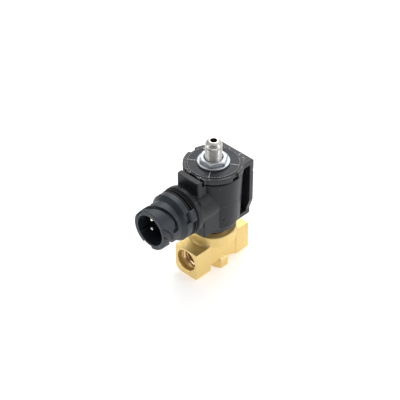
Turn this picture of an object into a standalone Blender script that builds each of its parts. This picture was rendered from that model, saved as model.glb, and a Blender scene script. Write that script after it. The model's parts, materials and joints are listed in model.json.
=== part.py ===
"""Three-way solenoid valve with threaded ports and a bayonet connector.

All driving dimensions are in millimetres and are turned into metres when a
mesh is made. The origin is at the centre of the foot's underside, on the
solenoid's axis. +Z is up that axis and -Y is the side of the connector.
"""
from math import cos, pi, radians, sin

import bmesh
import bpy
from mathutils import Matrix

MM = 0.001
SEGMENTS = 32
HIDDEN_SEGMENTS = 24      # for round pieces that nothing outside shows
CUT_MARGIN = 1.0          # how far a cutter runs past the face it opens
CLEAR = 0.3               # usual gap between neighbouring pieces

# Brass body
PORT_Z = 12.0             # height of both port axes
ARM_HALF_WIDTH = 8.5
ARM_BOTTOM, ARM_TOP = 1.6, 19.6
ARM_ROOT = 10.4           # where an arm's block starts, from the solenoid axis
FRONT_FACE_Y = -21.7
REAR_FACE_Y = 20.5
HUB_RADIUS, HUB_BOTTOM = 7.9, 5.5
FOOT_HALF_LENGTH, FOOT_END_HALF_WIDTH = 9.3, 2.9
FOOT_SIDE_X, FOOT_HALF_WIDTH, FOOT_TOP = 5.0, 4.9, 7.5
BOSS_RADIUS, BOSS_BOTTOM, BOSS_TOP = 13.4, 18.8, 26.3
PORT_BORE_RADIUS, COUNTERBORE_RADIUS, COUNTERBORE_DEPTH = 5.2, 6.7, 3.4
PORT_BORE_END = 6.5
PASSAGE_RADIUS = 2.0
CHAMBER_RADIUS, CHAMBER_FLOOR = 6.0, 18.6
SOCKET_RADIUS, SOCKET_FLOOR = 7.8, 21.0
SEAT_BORE_RADIUS, SEAT_BORE_FLOOR = 2.6, 15.5
SUPPLY_RADIUS = 1.6       # vertical drilling from the front port to the seat
OUTLET_Y = 4.4            # vertical drilling from the chamber to the rear port
OUTLET_RADIUS = 1.3
WEB_HALF_WIDTH = 7.9      # block between each arm and the hub
WEB_BOTTOM = 5.9
REAR_SLOPE = [(2.0, 5.9), (4.0, 4.7), (10.9, 2.5)]     # (y, z) of the web's underside, rear side
ORING_GROOVE_RADIUS, ORING_GROOVE_DEPTH = 9.0, 1.3
ORIFICE_RADIUS, SEAT_LIP_RADIUS = 0.9, 1.5

# Armature tube, plunger and core
TUBE_RADIUS, TUBE_BORE = 5.0, 4.4
TUBE_TOP = 66.2
FLANGE_RADIUS, FLANGE_BOTTOM, FLANGE_TOP = 9.3, 26.6, 28.9
SKIRT_RADIUS, SKIRT_BORE, SPRING_SHOULDER = 7.5, 6.2, 27.6
PLUNGER_RADIUS, PLUNGER_BOTTOM, PLUNGER_TOP = 4.15, 20.6, 48.7
PLUNGER_COLLAR_RADIUS, PLUNGER_COLLAR_HEIGHT = 5.5, 1.9
LOWER_POCKET_RADIUS, LOWER_POCKET_DEPTH = 2.7, 2.1
UPPER_POCKET_RADIUS, UPPER_POCKET_DEPTH = 2.2, 2.0
SPRING_RADIUS, SPRING_WIRE, SPRING_TURNS = 5.2, 0.4, 4
CORE_BOTTOM, CORE_TOP = 49.9, 84.4
STEM_RADIUS = 4.75
VENT_RADIUS, VENT_FLOOR = 1.95, 72.0
PASSAGE_IN_CORE = 1.2
TOP_SEAT_RADIUS, TOP_SEAT_HEIGHT = 1.9, 0.4

# Bracket
YOKE_THICKNESS = 2.9
PLATE_TOP = 69.5
LEG_BOTTOM = 30.5
BACK_Y = 17.85
PLATE_RADIUS, STRIP_HALF_WIDTH = 17.0, 13.6
LEG_RADIUS, LEG_HALF_WIDTH = 13.6, 11.4
BEND_RADIUS, INNER_BEND_RADIUS = 1.2, 0.5
TAPER_LOW, TAPER_TOP = 34.7, 41.5        # heights between which the back strip widens
YOKE_HOLE_RADIUS = 5.3
NOTCH_X, NOTCH_HALF_WIDTH = 15.5, 2.2
TOOTH_DEPTH = 0.7

# Label, washers and nut
LABEL_BORE, LABEL_RADIUS, LABEL_THICKNESS = 5.9, 14.85, 0.25
WASHER_BORE, WASHER_RADIUS, WASHER_THICKNESS = 5.3, 9.15, 1.2
BASE_WASHER_BORE, BASE_WASHER_RADIUS = 5.4, 9.6
NUT_CORNER_RADIUS, NUT_HEIGHT, NUT_BORE, NUT_BEVEL = 8.25, 2.35, 5.05, 0.7
NUT_CORNER_ANGLE = -57.5

# Coil
COIL_BOTTOM, COIL_TOP = 33.75, 65.6
COIL_RADIUS_BOTTOM, COIL_RADIUS_TOP = 15.15, 16.4
COIL_BACK_Y = 14.5
CAVITY_RADIUS, CAVITY_BOTTOM, CAVITY_TOP = 13.7, 36.0, 63.2
END_BORE_RADIUS = 7.4
CONNECTOR_Z = 49.8
NECK_RADIUS, NECK_RIM_RADIUS, NECK_FRONT = 13.2, 14.4, -25.7
NECK_BORE = 11.3
SHELF_HALF_WIDTH, SHELF_FRONT, SHELF_TOP = 7.95, -20.3, 69.2
BLOCK_HALF_WIDTH, BLOCK_FRONT, BLOCK_BOTTOM = 12.9, -20.05, 34.85
BOBBIN_BARREL, BOBBIN_FLANGE, BOBBIN_WALL = 6.5, 13.3, 1.4
WINDING_RADIUS = 12.8
COIL_RING_RADIUS, COIL_RING_WIRE = 6.3, 0.65

# Connector
RIM_Y = -49.0
SOCKET_BORE = 9.26
BARREL_FLOOR_RADIUS, BARREL_RADIUS = 10.4, 11.9
COLLAR_RADIUS = 13.9
COLLAR_BACK, FLANK_FRONT = -30.0, -37.2
SPIGOT_RADIUS, SPIGOT_END = 11.0, -20.5
CARRIER_FRONT, CARRIER_SHOULDER = -35.0, -31.3
PIN_X, PIN_RISE = -3.2, 3.2
PIN_RADIUS, PIN_TIP, PIN_BACK = 1.15, -45.0, -24.0
CARRIER_NOSE_RADIUS, CARRIER_STEM_RADIUS, CARRIER_BACK = 9.0, 7.7, -25.0
SEAL_RADIUS, SEAL_GROOVE_RADIUS, SEAL_RIB_RADIUS = 13.9, 13.2, 14.1
LEAD_HALF_WIDTH, LEAD_HALF_THICKNESS, LEAD_BACK = 1.0, 0.4, -13.2
TRACK_COUNT = 3


# ---------------------------------------------------------------- materials

def material(name, colour, roughness, metallic):
    mat = bpy.data.materials.new(name)
    mat.use_nodes = True
    shader = mat.node_tree.nodes["Principled BSDF"]
    shader.inputs["Base Color"].default_value = (*colour, 1.0)
    shader.inputs["Roughness"].default_value = roughness
    shader.inputs["Metallic"].default_value = metallic
    return mat


def make_materials():
    return {
        "brass": material("brass", (0.80, 0.62, 0.28), 0.38, 1.0),
        "steel": material("plated_steel", (0.66, 0.67, 0.68), 0.30, 1.0),
        "zinc": material("zinc_plate", (0.62, 0.65, 0.70), 0.32, 1.0),
        "core": material("soft_iron", (0.50, 0.50, 0.51), 0.40, 1.0),
        "paint": material("black_paint", (0.05, 0.05, 0.06), 0.42, 0.0),
        "coil": material("black_plastic", (0.03, 0.03, 0.033), 0.45, 0.0),
        "grey": material("grey_plastic", (0.09, 0.095, 0.11), 0.42, 0.0),
        "bobbin": material("natural_plastic", (0.30, 0.27, 0.22), 0.50, 0.0),
        "copper": material("copper", (0.72, 0.33, 0.18), 0.32, 1.0),
        "rubber": material("rubber", (0.02, 0.02, 0.02), 0.75, 0.0),
        "label": material("label_foil", (0.11, 0.12, 0.14), 0.35, 0.2),
        "tin": material("tinned_contact", (0.80, 0.80, 0.78), 0.25, 1.0),
    }


# ------------------------------------------------------------- mesh helpers

def finish(name, bm, mat, smooth_angle=32.0):
    """Turns a bmesh into an object, still in millimetres."""
    bmesh.ops.recalc_face_normals(bm, faces=bm.faces)
    mesh = bpy.data.meshes.new(name)
    bm.to_mesh(mesh)
    bm.free()
    mesh.shade_smooth()
    mesh.set_sharp_from_angle(angle=radians(smooth_angle))
    mesh.materials.append(mat)
    obj = bpy.data.objects.new(name, mesh)
    bpy.context.collection.objects.link(obj)
    return obj


def lathe(profile, segments=SEGMENTS, closed=True):
    """Turns (radius, height) points about Z.

    A closed profile makes a ring. An open one starts and ends on the axis.
    """
    bm = bmesh.new()
    rings = []
    for radius, height in profile:
        if radius == 0:
            rings.append([bm.verts.new((0, 0, height))] * segments)
            continue
        steps = (2 * pi * i / segments for i in range(segments))
        rings.append([bm.verts.new((radius * cos(a), radius * sin(a), height)) for a in steps])
    pairs = list(zip(rings, rings[1:]))
    if closed:
        pairs.append((rings[-1], rings[0]))
    for low, high in pairs:
        for i in range(segments):
            j = (i + 1) % segments
            corners = list(dict.fromkeys((low[i], low[j], high[j], high[i])))
            bm.faces.new(corners)
    return bm


def loft(levels):
    """Joins plan outlines with equal numbers of (x, y) points, each at its own height."""
    bm = bmesh.new()
    rings = [[bm.verts.new((x, y, height)) for x, y in outline] for outline, height in levels]
    bm.faces.new(rings[0])
    bm.faces.new(rings[-1])
    for low, high in zip(rings, rings[1:]):
        for i in range(len(low)):
            j = (i + 1) % len(low)
            bm.faces.new((low[i], low[j], high[j], high[i]))
    return bm


def prism(outline, low, high):
    """Raises a plan outline from one height to another."""
    return loft([(outline, low), (outline, high)])


def box(low, high):
    (x0, y0, z0), (x1, y1, z1) = low, high
    return prism([(x0, y0), (x1, y0), (x1, y1), (x0, y1)], z0, z1)


def along_y(bm, height):
    """Lays a shape made about Z down along Y, its top towards +Y, with its axis at a height."""
    bm.transform(Matrix.Translation((0, 0, height)) @ Matrix.Rotation(-pi / 2, 4, "X"))
    return bm


def upright(outline, low, high):
    """A prism along Y from an (x, z) outline."""
    return along_y(prism([(x, -z) for x, z in outline], low, high), 0)


def across(outline, low, high):
    """A prism along X from a (y, z) outline."""
    bm = prism([(-z, y) for y, z in outline], low, high)
    bm.transform(Matrix.Rotation(pi / 2, 4, "Y"))
    return bm


def rod(radius, start, end, segments=SEGMENTS):
    return lathe([(0, start), (radius, start), (radius, end), (0, end)], segments, closed=False)


def arc(centre_x, centre_y, radius, start, end, steps):
    """Points on an arc between two angles in degrees."""
    angles = (radians(start + (end - start) * i / steps) for i in range(steps + 1))
    return [(centre_x + radius * cos(a), centre_y + radius * sin(a)) for a in angles]


def boolean(obj, operation, *tools):
    """Applies cutters or additions to an object, then removes them."""
    smallest = 0.002
    for tool in tools:
        other = tool if isinstance(tool, bpy.types.Object) else finish("tool", tool, obj.data.materials[0])
        mod = obj.modifiers.new(operation.lower(), "BOOLEAN")
        mod.operation = operation
        mod.solver = "EXACT"
        mod.object = other
        graph = bpy.context.evaluated_depsgraph_get()
        mesh = bpy.data.meshes.new_from_object(obj.evaluated_get(graph))
        obj.modifiers.clear()
        bm = bmesh.new()
        bm.from_mesh(mesh)
        bmesh.ops.remove_doubles(bm, verts=bm.verts, dist=smallest)
        bmesh.ops.dissolve_degenerate(bm, edges=bm.edges, dist=smallest)
        bm.to_mesh(mesh)
        bm.free()
        obj.data = mesh
        bpy.data.objects.remove(other)
    obj.data.shade_smooth()
    obj.data.set_sharp_from_angle(angle=radians(32.0))
    return obj


def cut(obj, *tools):
    return boolean(obj, "DIFFERENCE", *tools)


def add(obj, *tools):
    return boolean(obj, "UNION", *tools)


def keep(obj, *tools):
    return boolean(obj, "INTERSECT", *tools)


# --------------------------------------------------------------- brass body

def arm_block(front, back):
    """A port arm between two Y planes, its long lower edges rounded."""
    large, small, chamfer, steps = 3.8, 1.6, 0.6, 4
    hx, low, high = ARM_HALF_WIDTH, ARM_BOTTOM, ARM_TOP
    section = arc(-hx + large, low + large, large, 180, 270, steps)
    section += arc(hx - small, low + small, small, 270, 360, steps)
    section += [(hx, high - chamfer), (hx - chamfer, high), (-hx + chamfer, high), (-hx, high - chamfer)]
    bm = prism([(x, -z) for x, z in section], front, back)
    return along_y(bm, 0)


def foot_lug():
    """Low block under the hub with bevelled ends, sloping in where it meets the hub."""
    right = [(FOOT_SIDE_X, -FOOT_HALF_WIDTH), (FOOT_HALF_LENGTH, -FOOT_END_HALF_WIDTH),
             (FOOT_HALF_LENGTH, FOOT_END_HALF_WIDTH), (FOOT_SIDE_X, FOOT_HALF_WIDTH)]
    outline = right + [(-x, y) for x, y in reversed(right)]
    chamfer = 2.0
    shrink = 1 - chamfer / FOOT_HALF_LENGTH
    inset = [(x * shrink, y * shrink) for x, y in outline]
    return loft([(outline, 0), (outline, FOOT_TOP - chamfer), (inset, FOOT_TOP)])


def port_cutters(side, face):
    """Counterbore, threaded bore and inner passage of one port; side is -1 or 1."""
    outer = face + side * CUT_MARGIN
    step = face - side * COUNTERBORE_DEPTH
    end = side * PORT_BORE_END
    inner = 0 if side < 0 else OUTLET_Y - OUTLET_RADIUS
    profile = [(0, outer), (COUNTERBORE_RADIUS, outer), (COUNTERBORE_RADIUS, step),
               (PORT_BORE_RADIUS, step), (PORT_BORE_RADIUS, end), (PASSAGE_RADIUS, end),
               (PASSAGE_RADIUS, inner), (0, inner)]
    return along_y(lathe(profile, closed=False), PORT_Z)


def make_valve_body(mat):
    hub = [(0, HUB_BOTTOM), (HUB_RADIUS - 0.4, HUB_BOTTOM), (HUB_RADIUS, WEB_BOTTOM),
           (HUB_RADIUS, BOSS_BOTTOM), (BOSS_RADIUS - 0.5, BOSS_BOTTOM), (BOSS_RADIUS, BOSS_BOTTOM + 0.5),
           (BOSS_RADIUS, BOSS_TOP - 0.8), (BOSS_RADIUS - 0.8, BOSS_TOP), (0, BOSS_TOP)]
    body = finish("valve_body", lathe(hub, 40, closed=False), mat)
    end, top = ARM_ROOT + 0.5, BOSS_BOTTOM + 0.5
    side = [(-end, WEB_BOTTOM)] + REAR_SLOPE + [(end, top), (-end, top)]
    web = across(side, -WEB_HALF_WIDTH, WEB_HALF_WIDTH)
    add(body, web, foot_lug(), arm_block(FRONT_FACE_Y, -ARM_ROOT), arm_block(ARM_ROOT, REAR_FACE_Y))
    top = BOSS_TOP + CUT_MARGIN
    groove = BOSS_TOP - ORING_GROOVE_DEPTH
    socket = [(0, SEAT_BORE_FLOOR), (SEAT_BORE_RADIUS, SEAT_BORE_FLOOR), (SEAT_BORE_RADIUS, CHAMBER_FLOOR),
              (CHAMBER_RADIUS, CHAMBER_FLOOR), (CHAMBER_RADIUS, SOCKET_FLOOR),
              (SOCKET_RADIUS, SOCKET_FLOOR), (SOCKET_RADIUS, groove), (ORING_GROOVE_RADIUS, groove),
              (ORING_GROOVE_RADIUS, top), (0, top)]
    cut(body, lathe(socket, closed=False))
    cut(body, port_cutters(-1, FRONT_FACE_Y), port_cutters(1, REAR_FACE_Y))
    supply = rod(SUPPLY_RADIUS, PORT_Z, SEAT_BORE_FLOOR + CUT_MARGIN, 20)
    outlet = rod(OUTLET_RADIUS, PORT_Z, CHAMBER_FLOOR + CUT_MARGIN, 20)
    bmesh.ops.translate(outlet, vec=(0, OUTLET_Y, 0), verts=outlet.verts)
    return cut(body, supply, outlet)


def make_orifice_seat(mat):
    low, shoulder, lip = SEAT_BORE_FLOOR + CLEAR, CHAMBER_FLOOR + 0.4, PLUNGER_BOTTOM - 0.6
    outer = SEAT_BORE_RADIUS - 0.2
    profile = [(ORIFICE_RADIUS, low), (outer, low), (outer, shoulder), (SEAT_LIP_RADIUS, lip),
               (ORIFICE_RADIUS, lip)]
    return finish("orifice_seat", lathe(profile, HIDDEN_SEGMENTS), mat)


def torus(major, minor, height, segments=HIDDEN_SEGMENTS, sides=6):
    section = [(major + minor * cos(2 * pi * i / sides), height + minor * sin(2 * pi * i / sides))
               for i in range(sides)]
    return lathe(section, segments)


# ------------------------------------------------- tube, core and armature

def make_guide_tube(mat):
    profile = [(SKIRT_BORE, SOCKET_FLOOR + CLEAR), (SKIRT_RADIUS, SOCKET_FLOOR + CLEAR),
               (SKIRT_RADIUS, FLANGE_BOTTOM), (FLANGE_RADIUS, FLANGE_BOTTOM), (FLANGE_RADIUS, FLANGE_TOP),
               (TUBE_RADIUS, FLANGE_TOP), (TUBE_RADIUS, TUBE_TOP), (TUBE_BORE, TUBE_TOP),
               (TUBE_BORE, SPRING_SHOULDER), (SKIRT_BORE, SPRING_SHOULDER)]
    return finish("guide_tube", lathe(profile, HIDDEN_SEGMENTS), mat)


def make_fixed_core(mat):
    """Core with a small upper seat, and a vented stem with a rounded tip."""
    collar, seat = TUBE_TOP + CLEAR, CORE_BOTTOM + TOP_SEAT_HEIGHT
    bead, shoulder = CORE_TOP - 3.6, CORE_TOP - 2.8
    profile = [(PASSAGE_IN_CORE, CORE_BOTTOM), (TOP_SEAT_RADIUS, CORE_BOTTOM), (TOP_SEAT_RADIUS, seat),
               (PLUNGER_RADIUS, seat), (PLUNGER_RADIUS, collar), (STEM_RADIUS, collar), (STEM_RADIUS, bead),
               (STEM_RADIUS + 0.1, bead + 0.2), (STEM_RADIUS + 0.1, shoulder), (4.65, CORE_TOP - 2.1),
               (4.15, CORE_TOP - 1.1), (3.65, CORE_TOP - 0.55), (3.0, CORE_TOP - 0.1), (2.7, CORE_TOP),
               (VENT_RADIUS, CORE_TOP), (VENT_RADIUS, VENT_FLOOR), (PASSAGE_IN_CORE, VENT_FLOOR - 1.0)]
    return finish("fixed_core", lathe(profile, 28), mat)


def make_plunger(mat):
    """Armature with a spring collar, two seal pockets and two flow grooves."""
    low, high, edge = PLUNGER_BOTTOM, PLUNGER_TOP, 0.5
    collar_radius, collar_top = PLUNGER_COLLAR_RADIUS, low + PLUNGER_COLLAR_HEIGHT
    profile = [(0, low + LOWER_POCKET_DEPTH), (LOWER_POCKET_RADIUS, low + LOWER_POCKET_DEPTH),
               (LOWER_POCKET_RADIUS, low), (collar_radius - edge, low), (collar_radius, low + edge),
               (collar_radius, collar_top), (PLUNGER_RADIUS, collar_top), (PLUNGER_RADIUS, high - edge),
               (PLUNGER_RADIUS - edge, high), (UPPER_POCKET_RADIUS, high),
               (UPPER_POCKET_RADIUS, high - UPPER_POCKET_DEPTH), (0, high - UPPER_POCKET_DEPTH)]
    plunger = finish("plunger", lathe(profile, HIDDEN_SEGMENTS, closed=False), mat)
    half_width, depth = 0.7, 0.75
    for side in (-1, 1):
        near, far = sorted((side * (PLUNGER_RADIUS - depth), side * (collar_radius + CUT_MARGIN)))
        cut(plunger, box((near, -half_width, low - CUT_MARGIN), (far, half_width, high + CUT_MARGIN)))
    return plunger


def make_spring(mat):
    """Round wire on a helix, with a flat cap at each end."""
    per_turn, sides = 14, 5
    low, high = PLUNGER_BOTTOM + 2.6, SPRING_SHOULDER - 0.5
    count = per_turn * SPRING_TURNS
    bm = bmesh.new()
    rings = []
    for i in range(count + 1):
        turn = 2 * pi * i / per_turn
        height = low + (high - low) * i / count
        ring = []
        for k in range(sides):
            side = 2 * pi * k / sides
            radius = SPRING_RADIUS + SPRING_WIRE * cos(side)
            rise = SPRING_WIRE * sin(side)
            ring.append(bm.verts.new((radius * cos(turn), radius * sin(turn), height + rise)))
        rings.append(ring)
    for first, second in zip(rings, rings[1:]):
        for k in range(sides):
            m = (k + 1) % sides
            bm.faces.new((first[k], first[m], second[m], second[k]))
    bm.faces.new(rings[0])
    bm.faces.new(rings[-1])
    return finish("plunger_spring", bm, mat)


def make_plunger_seals(mat):
    """Elastomer discs in the plunger's pockets, each a little proud of its end."""
    low = PLUNGER_BOTTOM - CLEAR
    finish("plunger_lower_seal", rod(LOWER_POCKET_RADIUS - CLEAR, low, low + LOWER_POCKET_DEPTH, 20), mat)
    high = PLUNGER_TOP - 0.05
    upper_floor = PLUNGER_TOP - UPPER_POCKET_DEPTH + CLEAR
    finish("plunger_upper_seal", rod(UPPER_POCKET_RADIUS - CLEAR, upper_floor, high, 20), mat)


# ------------------------------------------------------------------ bracket

def plate_outline():
    """The bracket's plan: a round front with side notches, and a straight strip behind."""
    joint = (PLATE_RADIUS ** 2 - STRIP_HALF_WIDTH ** 2) ** 0.5
    front_x, front_y = 8.4, -15.6
    front_angle, notch_angle, joint_angle = 60.3, 7.5, 36.9
    right = [(front_x, front_y)]
    right += arc(0, 0, PLATE_RADIUS, -front_angle, -notch_angle, 8)
    right += [(NOTCH_X, -NOTCH_HALF_WIDTH), (NOTCH_X, NOTCH_HALF_WIDTH)]
    right += arc(0, 0, PLATE_RADIUS, notch_angle, joint_angle, 4)
    right += [(STRIP_HALF_WIDTH, joint + 0.6), (STRIP_HALF_WIDTH, BACK_Y + CUT_MARGIN)]
    left = [(-x, y) for x, y in reversed(right)]
    tooth_y = front_y - TOOTH_DEPTH
    teeth = [(-5.0, front_y), (-5.0, tooth_y), (-2.4, tooth_y), (-2.4, front_y),
             (2.4, front_y), (2.4, tooth_y), (5.0, tooth_y), (5.0, front_y)]
    return left + teeth + right


def leg_outline():
    """Lower leg's plan: a disc cut to width."""
    joint_angle = 33.0
    right = arc(0, 0, LEG_RADIUS, -90, joint_angle, 14)
    right += [(LEG_HALF_WIDTH, BACK_Y + CUT_MARGIN)]
    return right + [(-x, y) for x, y in reversed(right[1:])]


def side_profile():
    """Section of the bent strip, as (y, z) points round the C."""
    r, inner_r = BEND_RADIUS, INNER_BEND_RADIUS
    top, low, back = PLATE_TOP, LEG_BOTTOM, BACK_Y
    outer = arc(back - r, low + r, r, -90, 0, 5) + arc(back - r, top - r, r, 0, 90, 5)
    top_in, low_in = top - YOKE_THICKNESS, low + YOKE_THICKNESS
    centre = back - YOKE_THICKNESS - inner_r
    inner = arc(centre, top_in - inner_r, inner_r, 90, 0, 2)
    inner += arc(centre, low_in + inner_r, inner_r, 0, -90, 2)
    front = -PLATE_RADIUS - 1
    return [(front, low)] + outer + [(front, top), (front, top_in)] + inner + [(front, low_in)]


def make_yoke_frame(mat):
    yoke = finish("yoke_frame", across(side_profile(), -PLATE_RADIUS - 1, PLATE_RADIUS + 1), mat)
    middle = (PLATE_TOP + LEG_BOTTOM) / 2
    plan = finish("tool", prism(plate_outline(), middle - 10, PLATE_TOP + CUT_MARGIN), mat)
    add(plan, prism(leg_outline(), LEG_BOTTOM - CUT_MARGIN, middle))
    inside = BACK_Y - YOKE_THICKNESS
    back = box((-STRIP_HALF_WIDTH, inside, LEG_BOTTOM - CUT_MARGIN),
               (STRIP_HALF_WIDTH, BACK_Y + CUT_MARGIN, middle + 1))
    add(plan, back)
    keep(yoke, plan)
    below, outside = LEG_BOTTOM - 2, PLATE_RADIUS + 3
    half_widths = [(LEG_HALF_WIDTH, below), (LEG_HALF_WIDTH, TAPER_LOW), (STRIP_HALF_WIDTH, TAPER_TOP),
                   (outside, TAPER_TOP), (outside, below)]
    for side in (-1, 1):
        taper = [(side * x, z) for x, z in half_widths]
        cut(yoke, upright(taper, inside - 0.4, BACK_Y + CUT_MARGIN))
    return cut(yoke, rod(YOKE_HOLE_RADIUS, below, PLATE_TOP + CUT_MARGIN))


def make_stack(mats):
    """Label, washer and nut above the bracket, and the ring below it."""
    def ring(name, inner, outer, low, high, mat):
        profile = [(inner, low), (outer, low), (outer, high - 0.15), (outer - 0.15, high), (inner, high)]
        return finish(name, lathe(profile), mats[mat])

    label_low = PLATE_TOP + 0.08
    label_high = label_low + LABEL_THICKNESS
    washer_low = label_high + 0.07
    washer_high = washer_low + WASHER_THICKNESS
    ring("label_disc", LABEL_BORE, LABEL_RADIUS, label_low, label_high, "label")
    ring("nut_washer", WASHER_BORE, WASHER_RADIUS, washer_low, washer_high, "zinc")
    gap = 0.15
    ring("base_washer", BASE_WASHER_BORE, BASE_WASHER_RADIUS, FLANGE_TOP + gap, LEG_BOTTOM - gap, "zinc")

    low = washer_high + 0.1
    high = low + NUT_HEIGHT
    hexagon = arc(0, 0, NUT_CORNER_RADIUS, NUT_CORNER_ANGLE, NUT_CORNER_ANGLE + 300, 5)
    nut = finish("coil_nut", prism(hexagon, low, high), mats["zinc"])
    flat, corner = NUT_CORNER_RADIUS * cos(pi / 6), NUT_CORNER_RADIUS + 0.35
    dome = [(0, low - 1), (flat + 0.45, low - 1), (corner, low + NUT_BEVEL), (corner, high - NUT_BEVEL),
            (flat + 0.4, high + 0.2), (flat - 0.15, high + 1), (0, high + 1)]
    keep(nut, lathe(dome, 36, closed=False))
    mouth = NUT_BORE + NUT_BEVEL
    bore = [(0, low - 1), (NUT_BORE, low - 1), (NUT_BORE, high - NUT_BEVEL), (mouth, high),
            (mouth, high + 1), (0, high + 1)]
    cut(nut, lathe(bore, HIDDEN_SEGMENTS, closed=False))


# --------------------------------------------------------------------- coil

def front_block():
    """Square lower half of the neck, with upright sides and a flat underside."""
    inside = -4.0
    return box((-BLOCK_HALF_WIDTH, BLOCK_FRONT, BLOCK_BOTTOM), (BLOCK_HALF_WIDTH, inside, CONNECTOR_Z))


def neck():
    """Round neck for the connector, thickest at its front rim."""
    edge, rim_back, taper_back, inside = 0.5, NECK_FRONT + 3.1, NECK_FRONT + 4.9, -6.0
    profile = [(0, NECK_FRONT), (NECK_RIM_RADIUS - edge, NECK_FRONT), (NECK_RIM_RADIUS, NECK_FRONT + edge),
               (NECK_RIM_RADIUS, rim_back), (NECK_RADIUS, taper_back), (NECK_RADIUS, inside), (0, inside)]
    return along_y(lathe(profile, closed=False), CONNECTOR_Z)


def make_coil_housing(mat):
    outer = [(0, COIL_BOTTOM), (COIL_RADIUS_BOTTOM - 0.7, COIL_BOTTOM),
             (COIL_RADIUS_BOTTOM, COIL_BOTTOM + 0.7), (COIL_RADIUS_TOP, COIL_TOP - 0.8),
             (COIL_RADIUS_TOP - 0.5, COIL_TOP), (0, COIL_TOP)]
    housing = finish("coil_housing", lathe(outer, 48, closed=False), mat)
    shelf = box((-SHELF_HALF_WIDTH, SHELF_FRONT, CONNECTOR_Z), (SHELF_HALF_WIDTH, -8, SHELF_TOP))
    add(housing, front_block(), neck(), shelf)
    above = box((-9.5, -16.8, COIL_TOP), (9.5, -5, SHELF_TOP + CUT_MARGIN))
    flat_back = box((-20, COIL_BACK_Y, LEG_BOTTOM), (20, COIL_RADIUS_TOP + 1, PLATE_TOP))
    cut(housing, above, flat_back)
    low, high = COIL_BOTTOM - CUT_MARGIN, COIL_TOP + CUT_MARGIN
    cavity = [(0, low), (END_BORE_RADIUS, low), (END_BORE_RADIUS, CAVITY_BOTTOM),
              (CAVITY_RADIUS, CAVITY_BOTTOM), (CAVITY_RADIUS, CAVITY_TOP), (END_BORE_RADIUS, CAVITY_TOP),
              (END_BORE_RADIUS, high), (0, high)]
    bore_end, slot_half = SPIGOT_END + 0.8, 5.2
    connector_bore = along_y(rod(NECK_BORE, NECK_FRONT - CUT_MARGIN, bore_end), CONNECTOR_Z)
    lead_slot = box((-slot_half, bore_end - 0.8, CONNECTOR_Z - slot_half),
                    (slot_half, -10, CONNECTOR_Z + slot_half))
    return cut(housing, lathe(cavity, closed=False), connector_bore, lead_slot)


def make_coil_inner(mats):
    bore, barrel, flange, wall = TUBE_RADIUS + 0.4, BOBBIN_BARREL, BOBBIN_FLANGE, BOBBIN_WALL
    end_gap = 1.2
    low, high = COIL_BOTTOM + end_gap, COIL_TOP - end_gap
    inner_low, inner_high = CAVITY_BOTTOM + CLEAR, CAVITY_TOP - CLEAR
    wall_low, wall_high = inner_low + wall, inner_high - wall
    profile = [(bore, low), (barrel, low), (barrel, inner_low), (flange, inner_low), (flange, wall_low),
               (barrel, wall_low), (barrel, wall_high), (flange, wall_high), (flange, inner_high),
               (barrel, inner_high), (barrel, high), (bore, high)]
    finish("coil_bobbin", lathe(profile, HIDDEN_SEGMENTS), mats["bobbin"])
    start, end = wall_low + CLEAR, wall_high - CLEAR
    inside = barrel + CLEAR
    winding = [(inside, start), (WINDING_RADIUS, start), (WINDING_RADIUS, end), (inside, end)]
    finish("coil_winding", lathe(winding, HIDDEN_SEGMENTS), mats["copper"])
    for name, height in (("lower", COIL_BOTTOM + 0.45), ("upper", COIL_TOP - 0.1)):
        finish(f"coil_oring_{name}", torus(COIL_RING_RADIUS, COIL_RING_WIRE, height), mats["rubber"])


# ---------------------------------------------------------------- connector

def level(points, angle):
    """Straight-line interpolation in a list of (angle, distance) points with rising angles."""
    for (a0, d0), (a1, d1) in zip(points, points[1:]):
        if angle <= a1:
            return d0 + (d1 - d0) * (angle - a0) / (a1 - a0)
    return points[-1][1]


def wrapped_band(front, back, inner, outer):
    """A band round the connector's axis between two (angle, distance behind the rim) edges."""
    start, end, step = back[0][0], back[-1][0], 5.0
    count = round((end - start) / step)
    bm = bmesh.new()
    sections = []
    for i in range(count + 1):
        angle = start + (end - start) * i / count
        near, far = level(front, angle), level(back, angle)
        corners = []
        for radius, behind in ((inner, near), (outer, near), (outer, far), (inner, far)):
            x, z = radius * cos(radians(angle)), radius * sin(radians(angle))
            corners.append(bm.verts.new((x, RIM_Y + behind, z)))
        sections.append(corners)
    for first, second in zip(sections, sections[1:]):
        for k in range(4):
            m = (k + 1) % 4
            bm.faces.new((first[k], first[m], second[m], second[k]))
    bm.faces.new(sections[0])
    bm.faces.new(sections[-1])
    return bm


def bayonet_groove(turn):
    """Helical groove that opens at the rim, runs back and ends in a hook."""
    open_rim = -CUT_MARGIN
    front = [(5, 6.4), (12, 6.3), (15, 6.9), (19, 8.0), (28, 8.0), (39, 7.7), (52, 7.4), (62, 6.9),
             (74, 6.3), (81, 6.0), (89, 5.2), (95, 4.3), (103, 3.3), (113, 2.7), (122, 0.9),
             (125, open_rim), (155, open_rim)]
    back = [(5, 8.6), (8, 9.8), (13, 10.1), (33, 10.3), (44, 9.9), (54, 9.6), (65, 9.0), (77, 8.4),
            (89, 7.7), (107, 6.9), (118, 6.1), (130, 4.6), (143, 2.9), (151, 1.3), (155, 0.4)]
    bm = wrapped_band(front, back, BARREL_FLOOR_RADIUS, BARREL_RADIUS + CUT_MARGIN)
    bm.transform(Matrix.Translation((0, 0, CONNECTOR_Z)) @ Matrix.Rotation(radians(-turn), 4, "Y"))
    return bm


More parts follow.
